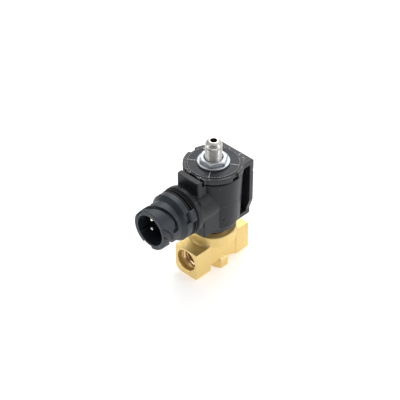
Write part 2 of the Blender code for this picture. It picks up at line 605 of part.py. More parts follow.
def make_connector_barrel(mat):
    carrier_seat, carrier_bore = CARRIER_SHOULDER + CLEAR, CARRIER_STEM_RADIUS + CLEAR
    edge, flank_back = 0.4, COLLAR_BACK - 4.3
    profile = [(SOCKET_BORE, RIM_Y), (BARREL_RADIUS - edge, RIM_Y), (BARREL_RADIUS, RIM_Y + edge),
               (BARREL_RADIUS, FLANK_FRONT), (COLLAR_RADIUS, flank_back), (COLLAR_RADIUS, COLLAR_BACK),
               (SPIGOT_RADIUS, COLLAR_BACK), (SPIGOT_RADIUS, SPIGOT_END), (carrier_bore, SPIGOT_END),
               (carrier_bore, carrier_seat), (SOCKET_BORE, carrier_seat)]
    barrel = finish("connector_barrel", along_y(lathe(profile, 40), CONNECTOR_Z), mat)
    return cut(barrel, *(bayonet_groove(360 / TRACK_COUNT * i) for i in range(TRACK_COUNT)))


def make_interface_seal(mat):
    """Seal between the connector's collar and the neck, with two grooves and a rib."""
    front, back, bore = COLLAR_BACK + 0.2, NECK_FRONT - 0.2, SPIGOT_RADIUS + CLEAR
    outer, groove, rib = SEAL_RADIUS, SEAL_GROOVE_RADIUS, SEAL_RIB_RADIUS
    profile = [(bore, front), (outer, front), (outer, -28.8), (groove, -28.5), (groove, -28.1),
               (rib, -27.9), (rib, -27.3), (groove, -27.1), (groove, -26.6), (outer, -26.3),
               (outer, back), (bore, back)]
    return finish("interface_seal", along_y(lathe(profile), CONNECTOR_Z), mat)


def make_contacts(mats):
    """Insulating carrier with two contact pins and the strips that lead to the winding."""
    nose, stem = CARRIER_NOSE_RADIUS, CARRIER_STEM_RADIUS
    profile = [(0, CARRIER_FRONT), (nose, CARRIER_FRONT), (nose, CARRIER_SHOULDER),
               (stem, CARRIER_SHOULDER), (stem, CARRIER_BACK), (0, CARRIER_BACK)]
    carrier = finish("pin_carrier", along_y(lathe(profile, closed=False), CONNECTOR_Z), mats["coil"])
    for number, side in ((1, 1), (2, -1)):
        height = CONNECTOR_Z + side * PIN_RISE
        hole = along_y(rod(PIN_RADIUS + 0.2, CARRIER_FRONT - 1, CARRIER_BACK + 1, 16), height)
        bmesh.ops.translate(hole, vec=(PIN_X, 0, 0), verts=hole.verts)
        cut(carrier, hole)
        pin_profile = [(0, PIN_TIP), (PIN_RADIUS - 0.5, PIN_TIP), (PIN_RADIUS, PIN_TIP + 0.8),
                       (PIN_RADIUS, PIN_BACK), (0, PIN_BACK)]
        pin = along_y(lathe(pin_profile, 16, closed=False), height)
        bmesh.ops.translate(pin, vec=(PIN_X, 0, 0), verts=pin.verts)
        finish(f"contact_pin_{number}", pin, mats["tin"])
        strip = box((PIN_X - LEAD_HALF_WIDTH, PIN_BACK + 0.2, height - LEAD_HALF_THICKNESS),
                    (PIN_X + LEAD_HALF_WIDTH, LEAD_BACK, height + LEAD_HALF_THICKNESS))
        finish(f"lead_strip_{number}", strip, mats["copper"])


# --------------------------------------------------------------------- main

def main():
    for obj in list(bpy.data.objects):
        bpy.data.objects.remove(obj)
    mats = make_materials()
    make_valve_body(mats["brass"])
    make_orifice_seat(mats["brass"])
    finish("body_oring", torus(8.3, 0.52, BOSS_TOP - 0.7), mats["rubber"])
    make_guide_tube(mats["brass"])
    make_fixed_core(mats["steel"])
    make_plunger(mats["core"])
    make_spring(mats["steel"])
    make_plunger_seals(mats["rubber"])
    make_yoke_frame(mats["paint"])
    make_stack(mats)
    make_coil_housing(mats["coil"])
    make_coil_inner(mats)
    make_connector_barrel(mats["grey"])
    make_interface_seal(mats["rubber"])
    make_contacts(mats)
    for obj in bpy.data.objects:
        obj.data.transform(Matrix.Scale(MM, 4))


main()
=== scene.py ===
"""Looks of the solenoid valve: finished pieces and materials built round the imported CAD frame.

Lengths are in millimetres and become metres when a piece is made. The origin is
at the centre of the foot's underside, +Z is the solenoid's axis and -Y is the
side of the connector. Angles on the connector run from +X towards +Z.
"""

import json
from math import atan2, cos, degrees, hypot, pi, radians, sin, tan

import bmesh
import bpy
from mathutils import Matrix, Vector


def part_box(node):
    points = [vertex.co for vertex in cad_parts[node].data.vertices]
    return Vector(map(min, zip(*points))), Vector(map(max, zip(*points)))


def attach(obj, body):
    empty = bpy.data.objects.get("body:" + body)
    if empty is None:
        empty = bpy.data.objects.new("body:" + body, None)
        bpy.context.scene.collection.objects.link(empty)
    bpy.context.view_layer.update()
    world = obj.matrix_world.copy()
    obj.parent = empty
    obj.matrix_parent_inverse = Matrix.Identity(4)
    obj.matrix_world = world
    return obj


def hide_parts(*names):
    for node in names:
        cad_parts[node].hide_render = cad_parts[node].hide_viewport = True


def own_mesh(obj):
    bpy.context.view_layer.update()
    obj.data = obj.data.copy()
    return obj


MM = 0.001

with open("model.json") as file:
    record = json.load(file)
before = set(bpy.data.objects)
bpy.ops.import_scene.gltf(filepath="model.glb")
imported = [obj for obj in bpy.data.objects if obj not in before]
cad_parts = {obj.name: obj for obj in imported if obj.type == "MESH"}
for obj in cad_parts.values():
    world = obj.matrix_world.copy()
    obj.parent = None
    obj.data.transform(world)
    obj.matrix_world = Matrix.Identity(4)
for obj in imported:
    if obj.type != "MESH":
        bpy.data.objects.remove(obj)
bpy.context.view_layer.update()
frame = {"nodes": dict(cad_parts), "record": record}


# ---- sizes from the frame

def extent(node):
    """A CAD node's lowest and highest corner, in millimetres."""
    low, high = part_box(node)
    return low / MM, high / MM


body_low, body_high = extent("valve_body")
FRONT_Y, REAR_Y = body_low.y, body_high.y
BOSS_RADIUS, BOSS_TOP = body_high.x, body_high.z
BOSS_BOTTOM = BOSS_TOP - 7.5
PORT_Z, PORT_BORE_END = 12.0, 6.5
PORT_ROOT_RADIUS, PORT_CREST_RADIUS, PORT_BORE_RADIUS, PORT_PITCH = 5.95, 5.05, 5.2, 1.5
COUNTERBORE_RADIUS, COUNTERBORE_DEPTH = 6.7, 3.4
ARM_HALF_WIDTH, ARM_BOTTOM, ARM_TOP = 8.5, 1.6, 19.6
HUB_RADIUS, HUB_BOTTOM, WEB_HALF_WIDTH, WEB_BOTTOM, ARM_ROOT = 7.9, 5.5, 7.9, 5.9, 10.4
REAR_SLOPE = [(2.0, 5.9), (4.0, 4.7), (10.9, 2.5)]  # (y, z) along the web's rear underside
FOOT_HALF_LENGTH, FOOT_END_HALF_WIDTH = 9.3, 2.9
FOOT_SIDE_X, FOOT_HALF_WIDTH, FOOT_TOP = 5.0, 4.9, 7.5

tube_low, tube_high = extent("guide_tube")
core_low, core_high = extent("fixed_core")
STEM_RADIUS, VENT_RADIUS = 4.75, 1.95
spring_low, spring_high = extent("plunger_spring")

yoke_low, yoke_high = extent("yoke_frame")
YOKE_THICKNESS, BEND_RADIUS, INNER_BEND_RADIUS = 2.9, 1.2, 0.5
PLATE_RADIUS, STRIP_HALF_WIDTH, YOKE_BORE = 17.0, 13.6, 5.3
LEG_RADIUS, LEG_HALF_WIDTH = 13.6, 11.4
TAPER_LOW, TAPER_TOP = 34.7, 41.5

coil_low, coil_high = extent("coil_housing")
COIL_BOTTOM, COIL_TOP = 33.75, 65.6
COIL_RADIUS_BOTTOM, COIL_RADIUS_TOP = 15.15, 16.4
NECK_RADIUS, NECK_RIM_RADIUS, NECK_BORE = 13.2, 14.4, 11.3
SHELF_HALF_WIDTH, SHELF_FRONT = 7.95, -20.3
BLOCK_HALF_WIDTH, BLOCK_FRONT, BLOCK_BOTTOM = 12.9, -20.05, 34.85

barrel_low, barrel_high = extent("connector_barrel")
RIM_Y, SPIGOT_END = barrel_low.y, barrel_high.y
CONNECTOR_Z = (barrel_low.z + barrel_high.z) / 2
COLLAR_RADIUS = barrel_high.x
SOCKET_BORE, TRACK_FLOOR, LAND_RADIUS = 9.26, 10.4, 11.9
seal_low, seal_high = extent("interface_seal")
carrier_low, carrier_high = extent("pin_carrier")


# ---- outlines

def arc(centre_x, centre_y, radius, start, end, steps):
    """Points on an arc between two angles in degrees."""
    angles = (radians(start + (end - start) * i / steps) for i in range(steps + 1))
    return [(centre_x + radius * cos(a), centre_y + radius * sin(a)) for a in angles]


def rounded(corners, steps=4):
    """An outline from (a, b) and (a, b, radius) corners; a radius turns its corner into an arc."""
    points = []
    for i, corner in enumerate(corners):
        if len(corner) == 2:
            points.append(tuple(corner))
            continue
        a, b, radius = corner
        here = Vector((a, b))
        before = (Vector(corners[i - 1][:2]) - here).normalized()
        after = (Vector(corners[(i + 1) % len(corners)][:2]) - here).normalized()
        half = before.angle(after) / 2
        centre = (before + after).normalized() * (radius / sin(half))
        first = (before * (radius / tan(half)) - centre).normalized()
        last = (after * (radius / tan(half)) - centre).normalized()
        spokes = (first.slerp(last, k / steps) for k in range(steps + 1))
        points += [tuple(here + centre + spoke * radius) for spoke in spokes]
    return points


def refined(outline, step):
    """Adds points to an open outline so that none of its stretches is longer than step."""
    points = [outline[0]]
    for (a0, b0), (a1, b1) in zip(outline, outline[1:]):
        count = max(1, round(hypot(a1 - a0, b1 - b0) / step))
        for i in range(1, count + 1):
            points.append((a0 + (a1 - a0) * i / count, b0 + (b1 - b0) * i / count))
    return points


def level(points, at):
    """Straight-line interpolation in a list of (place, value) points with rising places."""
    for (a0, b0), (a1, b1) in zip(points, points[1:]):
        if at <= a1:
            return b0 + (b1 - b0) * (at - a0) / (a1 - a0)
    return points[-1][1]


def ramp(value, width):
    """0 below zero, 1 above width, and smooth between."""
    t = min(max(value / width, 0.0), 1.0)
    return t * t * (3 - 2 * t)


# ---- meshes

def lathe(profile, segments=96, closed=True):
    """Turns (radius, height) points about Z. An open profile starts and ends on the axis."""
    bm = bmesh.new()
    rings = []
    for radius, height in profile:
        if radius == 0:
            rings.append([bm.verts.new((0, 0, height))] * segments)
            continue
        steps = (2 * pi * i / segments for i in range(segments))
        rings.append([bm.verts.new((radius * cos(a), radius * sin(a), height)) for a in steps])
    pairs = list(zip(rings, rings[1:]))
    if closed:
        pairs.append((rings[-1], rings[0]))
    for low, high in pairs:
        for i in range(segments):
            j = (i + 1) % segments
            bm.faces.new(list(dict.fromkeys((low[i], low[j], high[j], high[i]))))
    return bm


def sweep(sections, joined_ends=False):
    """Skins closed sections with equal numbers of points, and caps or joins the ends."""
    bm = bmesh.new()
    rings = [[bm.verts.new(point) for point in section] for section in sections]
    pairs = list(zip(rings, rings[1:]))
    if joined_ends:
        pairs.append((rings[-1], rings[0]))
    else:
        bm.faces.new(rings[0])
        bm.faces.new(rings[-1])
    for first, second in pairs:
        for i in range(len(first)):
            j = (i + 1) % len(first)
            bm.faces.new((first[i], first[j], second[j], second[i]))
    return bm


def loft(levels):
    """Joins plan outlines with equal numbers of (x, y) points, each at its own height."""
    return sweep([[(x, y, height) for x, y in outline] for outline, height in levels])


def prism(outline, low, high):
    """An upright prism from a plan outline."""
    return loft([(outline, low), (outline, high)])


def box(low, high):
    """A box between its lowest and highest corner."""
    (x0, y0, z0), (x1, y1, z1) = low, high
    return prism([(x0, y0), (x1, y0), (x1, y1), (x0, y1)], z0, z1)


def rod(radius, start, end, segments=96):
    """A solid cylinder about Z."""
    return lathe([(0, start), (radius, start), (radius, end), (0, end)], segments, closed=False)


def along_y(bm, height=0.0, x=0.0):
    """Lays a shape made about Z down along Y, its top towards +Y, with its axis at a height."""
    bm.transform(Matrix.Translation((x, 0, height)) @ Matrix.Rotation(-pi / 2, 4, "X"))
    return bm


def upright(outline, low, high):
    """A prism along Y from an (x, z) outline."""
    return along_y(prism([(x, -z) for x, z in outline], low, high))


def across(outline, low, high):
    """A prism along X from a (y, z) outline."""
    bm = prism([(-z, y) for y, z in outline], low, high)
    bm.transform(Matrix.Rotation(pi / 2, 4, "Y"))
    return bm


def stored(name, bm):
    """Turns a working mesh into mesh data, and frees it."""
    mesh = bpy.data.meshes.new(name)
    bm.to_mesh(mesh)
    bm.free()
    return mesh


def placed(name, data):
    """Puts a new object with some data into the scene."""
    obj = bpy.data.objects.new(name, data)
    bpy.context.scene.collection.objects.link(obj)
    return obj


def append(bm, *others):
    """Adds separate shells to a mesh."""
    for other in others:
        mesh = stored("shell", other)
        bm.from_mesh(mesh)
        bpy.data.meshes.remove(mesh)
    return bm


def evaluated(bm, *modifiers):
    """The mesh after modifiers, each given as (type, settings), in millimetres."""
    bmesh.ops.recalc_face_normals(bm, faces=bm.faces)
    mesh = stored("work", bm)
    obj = placed("work", mesh)
    for kind, settings in modifiers:
        modifier = obj.modifiers.new(kind.lower(), kind)
        for key, value in settings.items():
            setattr(modifier, key, value)
    graph = bpy.context.evaluated_depsgraph_get()
    result = bmesh.new()
    result.from_mesh(obj.evaluated_get(graph).to_mesh())
    bpy.data.objects.remove(obj)
    bpy.data.meshes.remove(mesh)
    return result


def boolean(bm, operation, tools):
    """Applies exact booleans one tool at a time, clearing the slivers that each leaves."""
    smallest = 0.002
    for tool in tools:
        bmesh.ops.recalc_face_normals(tool, faces=tool.faces)
        mesh = stored("tool", tool)
        other = placed("tool", mesh)
        settings = {"operation": operation, "solver": "EXACT", "object": other}
        bm = evaluated(bm, ("BOOLEAN", settings))
        bmesh.ops.remove_doubles(bm, verts=bm.verts, dist=smallest)
        bmesh.ops.dissolve_degenerate(bm, edges=bm.edges, dist=smallest)
        bpy.data.objects.remove(other)
        bpy.data.meshes.remove(mesh)
    return bm


def added(bm, *tools):
    return boolean(bm, "UNION", tools)


def cut(bm, *tools):
    return boolean(bm, "DIFFERENCE", tools)


def common(bm, *tools):
    return boolean(bm, "INTERSECT", tools)


def softened(bm, voxel, passes, share):
    """Gives a cut mesh the small rounded edges of a casting or moulding."""
    return evaluated(
        bm,
        ("REMESH", {"mode": "VOXEL", "voxel_size": voxel, "adaptivity": 0.0}),
        ("SMOOTH", {"factor": 0.5, "iterations": passes}),
        ("DECIMATE", {"ratio": share}),
    )


def bevelled(bm, width):
    """Rounds the sharp edges of a simple mesh."""
    sharpest = radians(30.0)
    settings = {"width": width, "segments": 3, "limit_method": "ANGLE", "angle_limit": sharpest}
    return evaluated(bm, ("BEVEL", settings))


def helical_ridge(root, crest, pitch, start, end, base_width, tip_width, segments=60):
    """A thread's ridge about Z, fading out over its first and last half turn."""
    lowest = 0.05
    turns = (end - start) / pitch
    count = round(turns * segments)
    sections = []
    for i in range(count + 1):
        share = i / count
        angle = 2 * pi * turns * share
        height = start + (end - start) * share
        fade = min(1.0, 2 * turns * share, 2 * turns * (1 - share))
        tip = root + (crest - root) * max(fade, lowest)
        corners = ((root, -base_width / 2), (tip, -tip_width / 2),
                   (tip, tip_width / 2), (root, base_width / 2))
        sections.append([(r * cos(angle), r * sin(angle), height + dz) for r, dz in corners])
    return sweep(sections)


def piece(name, bm, material, body, slot, *nodes, sharp=40.0):
    """Makes a shown piece in metres that rides on a body and stands for some CAD nodes."""
    bmesh.ops.recalc_face_normals(bm, faces=bm.faces)
    bm.transform(Matrix.Scale(MM, 4))
    mesh = stored(name, bm)
    mesh.shade_smooth()
    mesh.set_sharp_from_angle(angle=radians(sharp))
    mesh.materials.append(material)
    obj = placed(name, mesh)
    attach(obj, body)
    if nodes:
        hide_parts(*nodes)
    return obj


# ---- materials

class Finish:
    """A procedural material: one Principled shader fed by patterns in object space."""

    def __init__(self, name, metallic=0.0, **sockets):
        self.material = bpy.data.materials.new(name)
        self.material.use_nodes = True
        self.tree = self.material.node_tree
        self.shader = self.tree.nodes["Principled BSDF"]
        self.shader.inputs["Metallic"].default_value = metallic
        for key, value in sockets.items():
            self.shader.inputs[key.replace("_", " ")].default_value = value
        self.place = self.node("ShaderNodeTexCoord").outputs["Object"]

    def node(self, kind, **settings):
        made = self.tree.nodes.new(kind)
        for key, value in settings.items():
            setattr(made, key, value)
        return made

    def link(self, source, socket):
        self.tree.links.new(source, socket)

    def stretched(self, x=1.0, y=1.0, z=1.0):
        """Object coordinates with each axis scaled, for grain that runs one way."""
        mapping = self.node("ShaderNodeMapping")
        mapping.inputs["Scale"].default_value = (x, y, z)
        self.link(self.place, mapping.inputs["Vector"])
        return mapping.outputs["Vector"]

    def noise(self, size, detail=3.0, place=None):
        """Noise with features about size millimetres across."""
        texture = self.node("ShaderNodeTexNoise")
        texture.inputs["Scale"].default_value = 1.0 / (size * MM)
        texture.inputs["Detail"].default_value = detail
        texture.inputs["Roughness"].default_value = 0.55
        self.link(place or self.place, texture.inputs["Vector"])
        return texture.outputs["Fac"]

    def cells(self, size):
        """Distance to the nearest of scattered points about size millimetres apart."""
        texture = self.node("ShaderNodeTexVoronoi")
        texture.inputs["Scale"].default_value = 1.0 / (size * MM)
        self.link(self.place, texture.inputs["Vector"])
        return texture.outputs["Distance"]

    def from_axis(self):
        """Distance from the solenoid's axis, in metres."""
        made = self.node("ShaderNodeVectorMath", operation="LENGTH")
        self.link(self.stretched(z=0.0), made.inputs[0])
        return made.outputs["Value"]

    def edges(self, low=0.52, high=0.58):
        """Near 1 on sharp outer edges and 0 elsewhere; it marks worn edges and painted edge
        highlights.
        """
        return self.mapped(self.node("ShaderNodeNewGeometry").outputs["Pointiness"], low, high)

    def mapped(self, source, low, high, to_low=0.0, to_high=1.0):
        """Carries the range from low to high over to another one, clamped at its ends."""
        made = self.node("ShaderNodeMapRange")
        self.link(source, made.inputs["Value"])
        ends = {"From Min": low, "From Max": high, "To Min": to_low, "To Max": to_high}
        for key, value in ends.items():
            made.inputs[key].default_value = value
        return made.outputs["Result"]

    def times(self, first, second):
        """Product of two patterns."""
        made = self.node("ShaderNodeMath", operation="MULTIPLY", use_clamp=True)
        self.link(first, made.inputs[0])
        self.link(second, made.inputs[1])
        return made.outputs["Value"]

    def mixed(self, factor, first, second):
        """Mixes two colours, each a triple or another mix."""
        made = self.node("ShaderNodeMix", data_type="RGBA")
        self.link(factor, made.inputs["Factor"])
        for key, colour in (("A", first), ("B", second)):
            socket = next(s for s in made.inputs if s.name == key and s.type == "RGBA")
            if isinstance(colour, tuple):
                socket.default_value = (*colour, 1.0)
            else:
                self.link(colour, socket)
        return next(s for s in made.outputs if s.type == "RGBA")

    def colour(self, source):
        self.link(source, self.shader.inputs["Base Color"])

    def rough(self, source, low, high):
        """Roughness between two values, following the middle of a pattern's range."""
        self.link(self.mapped(source, 0.3, 0.7, low, high), self.shader.inputs["Roughness"])

    def bump(self, *patterns):
        """Relief from (pattern, depth in millimetres) pairs."""
        normal = None
        for source, depth in patterns:
            made = self.node("ShaderNodeBump")
            made.inputs["Distance"].default_value = depth * MM
            self.link(source, made.inputs["Height"])
            if normal:
                self.link(normal, made.inputs["Normal"])
            normal = made.outputs["Normal"]
        self.link(normal, self.shader.inputs["Normal"])


def brass_finish():
    """Forged and tumbled brass: satin, faintly mottled, paler on its edges, partly wear and partly
    a painted highlight.
    """
    f = Finish("brass_satin", metallic=0.8)
    mottle = f.noise(3.5, 4.0)
    base = f.mixed(mottle, (0.86, 0.66, 0.28), (0.79, 0.58, 0.225))
    # Edges mixed to pale gold: partly edge wear, partly a painted edge highlight.
    f.colour(f.mixed(f.edges(), base, (0.92, 0.79, 0.48)))
    f.rough(f.noise(1.2, 4.0), 0.42, 0.55)
    f.bump((f.noise(0.25, 2.0), 0.012), (f.noise(2.5, 3.0), 0.05))
    return f.material


def cut_brass_finish():
    """Freshly cut brass of the port threads, warmer and brighter; the brighter colour is painted
    light for the shade inside the port bores.
    """
    f = Finish("brass_cut", metallic=0.8)
    # Painted light: colour raised brighter to offset the shade inside the port bores.
    f.colour(f.mixed(f.noise(1.5), (0.97, 0.74, 0.46), (0.82, 0.56, 0.30)))
    f.rough(f.noise(0.6), 0.14, 0.24)
    f.bump((f.noise(0.2, 2.0, f.stretched(1, 8, 1)), 0.01))
    return f.material


def dull_brass_finish():
    """Unpolished greyish brass of the tube's flange, its colour raised as painted light against the
    shade under the coil.
    """
    f = Finish("brass_dull", metallic=0.8)
    # Painted light: grey-brown tone raised paler to offset the shade the flange sits in under the
    # coil.
    f.colour(f.mixed(f.noise(2.0), (0.78, 0.70, 0.58), (0.58, 0.49, 0.38)))
    f.rough(f.noise(0.6), 0.30, 0.42)
    f.bump((f.noise(0.2, 2.0, f.stretched(0.2, 0.2, 2)), 0.008))
    return f.material


def plated_steel_finish():
    """Bright nickel plating with fine turning marks, painted dark inside the vent as painted shade.
    """
    f = Finish("nickel_plate", metallic=1.0)
    plating = f.mixed(f.noise(2.0), (0.68, 0.67, 0.64), (0.58, 0.57, 0.54))
    # Painted shade: the vent's bore is coloured dark to stand for the shade inside it.
    vent_painted_shade = f.mapped(f.from_axis(), (VENT_RADIUS + 0.07) * MM, (VENT_RADIUS - 0.03) * MM)
    f.colour(f.mixed(vent_painted_shade, plating, (0.10, 0.09, 0.08)))
    f.rough(f.noise(0.5), 0.32, 0.42)
    f.bump((f.noise(0.15, 2.0, f.stretched(0.15, 0.15, 2)), 0.002))
    return f.material


def zinc_finish():
    """Grey zinc plating with faint crystal mottling, with a painted highlight on its edges."""
    f = Finish("zinc_plate", metallic=1.0)
    base = f.mixed(f.cells(1.4), (0.45, 0.475, 0.505), (0.55, 0.575, 0.605))
    # Painted highlight: sharp edges mixed to a lighter grey.
    f.colour(f.mixed(f.edges(), base, (0.68, 0.71, 0.74)))
    f.rough(f.noise(0.8, 4.0), 0.40, 0.52)
    f.bump((f.noise(0.3, 3.0), 0.015))
    return f.material


def iron_finish():
    """Turned soft iron of the armature, with fine turning marks."""
    f = Finish("turned_iron", metallic=1.0)
    f.colour(f.mixed(f.noise(2.0), (0.52, 0.51, 0.50), (0.42, 0.41, 0.41)))
    f.rough(f.noise(0.6), 0.3, 0.45)
    f.bump((f.noise(0.15, 2.0, f.stretched(0.15, 0.15, 2)), 0.01))
    return f.material


def paint_finish():
    """Black stove enamel over steel: slight orange peel, with metal showing on handled edges."""
    f = Finish("black_enamel", Specular_IOR_Level=0.45, Coat_Weight=0.1, Coat_Roughness=0.3)
    dust = f.noise(4.0, 4.0)
    base = f.mixed(dust, (0.013, 0.013, 0.016), (0.022, 0.022, 0.027))
    chips = f.times(f.edges(0.55, 0.60), f.mapped(f.noise(0.9, 3.0), 0.46, 0.54))
    f.colour(f.mixed(chips, base, (0.46, 0.40, 0.33)))
    f.rough(f.noise(1.4, 4.0), 0.34, 0.50)
    f.bump((f.noise(0.45, 3.0), 0.02), (f.noise(3.0, 2.0), 0.03))
    return f.material


def black_plastic_finish():
    """Glass-filled black moulding: matt, fine grain, faint flow marks, with a painted highlight on
    its edges.
    """
    f = Finish("black_moulding", Specular_IOR_Level=0.32, Specular_Tint=(0.92, 0.97, 1.0, 1.0))
    flow = f.noise(6.0, 3.0, f.stretched(1, 1, 0.4))
    base = f.mixed(flow, (0.007, 0.008, 0.0095), (0.012, 0.0135, 0.016))
    # Painted highlight: sharp edges mixed to a lighter grey.
    f.colour(f.mixed(f.edges(0.55, 0.62), base, (0.085, 0.087, 0.092)))
    f.rough(f.noise(0.9, 4.0), 0.30, 0.42)
    f.bump((f.noise(0.18, 3.0), 0.008), (flow, 0.04))
    return f.material


def grey_plastic_finish():
    """Dark blue-grey moulding of the connector, with a painted highlight on its edges."""
    f = Finish("grey_moulding", Specular_Tint=(0.84, 0.93, 1.0, 1.0))
    flow = f.noise(5.0, 3.0, f.stretched(1, 0.4, 1))
    base = f.mixed(flow, (0.015, 0.018, 0.023), (0.021, 0.025, 0.032))
    # Painted highlight: sharp edges mixed to a lighter grey.
    f.colour(f.mixed(f.edges(0.53, 0.62), base, (0.16, 0.17, 0.19)))
    f.rough(f.noise(0.9, 4.0), 0.38, 0.52)
    f.bump((f.noise(0.18, 3.0), 0.012), (flow, 0.03))
    return f.material


def rubber_finish():
    """Matt black rubber."""
    f = Finish("rubber", Specular_IOR_Level=0.35)
    f.colour(f.mixed(f.noise(2.0), (0.007, 0.007, 0.008), (0.013, 0.013, 0.015)))
    f.rough(f.noise(0.6), 0.55, 0.75)
    f.bump((f.noise(0.2, 2.0), 0.01))
    return f.material


def natural_plastic_finish():
    """Unpigmented moulding of the bobbin."""
    f = Finish("bobbin_moulding")
    f.colour(f.mixed(f.noise(3.0), (0.30, 0.26, 0.20), (0.36, 0.32, 0.25)))
    f.rough(f.noise(0.8), 0.4, 0.55)
    f.bump((f.noise(0.3, 2.0), 0.01))
    return f.material


def copper_finish():
    """Enamelled winding wire, its turns shown as fine ridges."""
    f = Finish("copper", metallic=1.0)
    f.colour(f.mixed(f.noise(2.0), (0.75, 0.34, 0.18), (0.60, 0.24, 0.12)))
    f.rough(f.noise(0.5), 0.22, 0.36)
    period = 6.0
    turns = f.node("ShaderNodeTexWave", wave_type="BANDS", bands_direction="Z", wave_profile="SIN")
    turns.inputs["Scale"].default_value = 1.0 / (period * MM)
    f.link(f.place, turns.inputs["Vector"])
    f.bump((turns.outputs["Fac"], 0.08))
    return f.material


def label_finish():
    """Printed dark foil, slightly blue, with a dull sheen."""
    f = Finish("label_foil", Specular_IOR_Level=0.30)
    f.colour(f.mixed(f.noise(5.0, 4.0), (0.013, 0.016, 0.022), (0.020, 0.023, 0.030)))
    f.rough(f.noise(1.2, 4.0), 0.30, 0.42)
    f.bump((f.noise(1.5, 2.0), 0.012))
    return f.material


def print_finish():
    """Pale ink of the label's lines, broken by wear."""
    f = Finish("label_ink")
    wear = f.mapped(f.noise(0.7, 3.0), 0.42, 0.60)
    f.colour(f.mixed(wear, (0.75, 0.77, 0.80), (0.28, 0.30, 0.33)))
    f.rough(f.noise(0.8), 0.4, 0.6)
    return f.material


def tin_finish():
    """Bright tin plating of the contacts."""
    f = Finish("tinned_contact", metallic=1.0)
    f.colour(f.mixed(f.noise(1.0), (0.92, 0.91, 0.88), (0.80, 0.79, 0.76)))
    f.rough(f.noise(0.4), 0.12, 0.22)
    f.bump((f.noise(0.2, 2.0), 0.004))
    return f.material


# ---- brass body

def arm_block(front, back):
    """A port arm between two Y planes, its long lower edges rounded."""
    large, small, chamfer, steps = 3.8, 1.6, 0.6, 8
    hx, low, high = ARM_HALF_WIDTH, ARM_BOTTOM, ARM_TOP
    section = arc(-hx + large, low + large, large, 180, 270, steps)
    section += arc(hx - small, low + small, small, 270, 360, steps)
    section += [(hx, high - chamfer), (hx - chamfer, high)]
    section += [(-hx + chamfer, high), (-hx, high - chamfer)]
    return upright(section, front, back)


def foot_lug():
    """Low block under the hub with bevelled ends, sloping in where it meets the hub."""
    right = [(FOOT_SIDE_X, -FOOT_HALF_WIDTH), (FOOT_HALF_LENGTH, -FOOT_END_HALF_WIDTH),
             (FOOT_HALF_LENGTH, FOOT_END_HALF_WIDTH), (FOOT_SIDE_X, FOOT_HALF_WIDTH)]
    outline = right + [(-x, y) for x, y in reversed(right)]
    chamfer = 2.0
    shrink = 1 - chamfer / FOOT_HALF_LENGTH
    inset = [(x * shrink, y * shrink) for x, y in outline]
    return loft([(outline, 0), (outline, FOOT_TOP - chamfer), (inset, FOOT_TOP)])


def port_cutter(side, face, inner):
    """Counterbore, bore and inner passage of one port; side is -1 or 1."""
    outer, step, end = face + side, face - side * COUNTERBORE_DEPTH, side * PORT_BORE_END
    passage, lead = 2.0, 0.7
    profile = [(0, outer), (COUNTERBORE_RADIUS, outer), (COUNTERBORE_RADIUS, step),
               (PORT_ROOT_RADIUS + 0.1, step), (PORT_ROOT_RADIUS, step - side * lead),
               (PORT_ROOT_RADIUS, side * ARM_ROOT), (PORT_BORE_RADIUS, side * (ARM_ROOT - lead)),
               (PORT_BORE_RADIUS, end), (passage, end), (passage, inner), (0, inner)]
    return along_y(lathe(profile, closed=False), PORT_Z)


def boss_lip():
    """Raised step on both arms where they meet the boss."""
    chamfer, low, high = 0.3, ARM_TOP - 1.0, ARM_TOP + 0.8
    inside, outside = BOSS_RADIUS - 1, BOSS_RADIUS + 0.7
    ring = lathe([(inside, low), (outside, low), (outside, high - chamfer),
                  (outside - chamfer, high), (inside, high)])
    half_width, reach = ARM_HALF_WIDTH - 0.2, BOSS_RADIUS + 2
    return common(ring, box((-half_width, -reach, low - 1), (half_width, reach, high + 1)))


def hub_and_web():
    """Round boss on a narrower hub, and the web that carries the arms through it."""
    step_width, step_depth = 0.7, 0.5
    edge, bottom = BOSS_RADIUS - step_depth, BOSS_BOTTOM + step_width
    hub = rounded([(0, HUB_BOTTOM), (HUB_RADIUS, HUB_BOTTOM, 0.3), (HUB_RADIUS, BOSS_BOTTOM),
                   (edge, BOSS_BOTTOM), (edge, bottom), (BOSS_RADIUS, bottom),
                   (BOSS_RADIUS, BOSS_TOP, 0.8), (0, BOSS_TOP)])
    end, top = ARM_ROOT + 0.5, BOSS_BOTTOM + 0.5
    side = [(-end, WEB_BOTTOM)] + REAR_SLOPE + [(end, top), (-end, top)]
    return lathe(hub, closed=False), across(side, -WEB_HALF_WIDTH, WEB_HALF_WIDTH)


def top_socket():
    """Cutter for the stepped socket that takes the seat, the plunger and the tube."""
    top, ledge = BOSS_TOP + 1, BOSS_TOP - 1.3
    seat, chamber, skirt, flange = 2.6, 6.0, 7.8, 9.0
    floor, chamber_floor, skirt_floor = 15.5, 18.6, 21.0
    profile = [(0, floor), (seat, floor), (seat, chamber_floor), (chamber, chamber_floor),
               (chamber, skirt_floor), (skirt, skirt_floor), (skirt, ledge), (flange, ledge),
               (flange, top), (0, top)]
    return lathe(profile, closed=False)


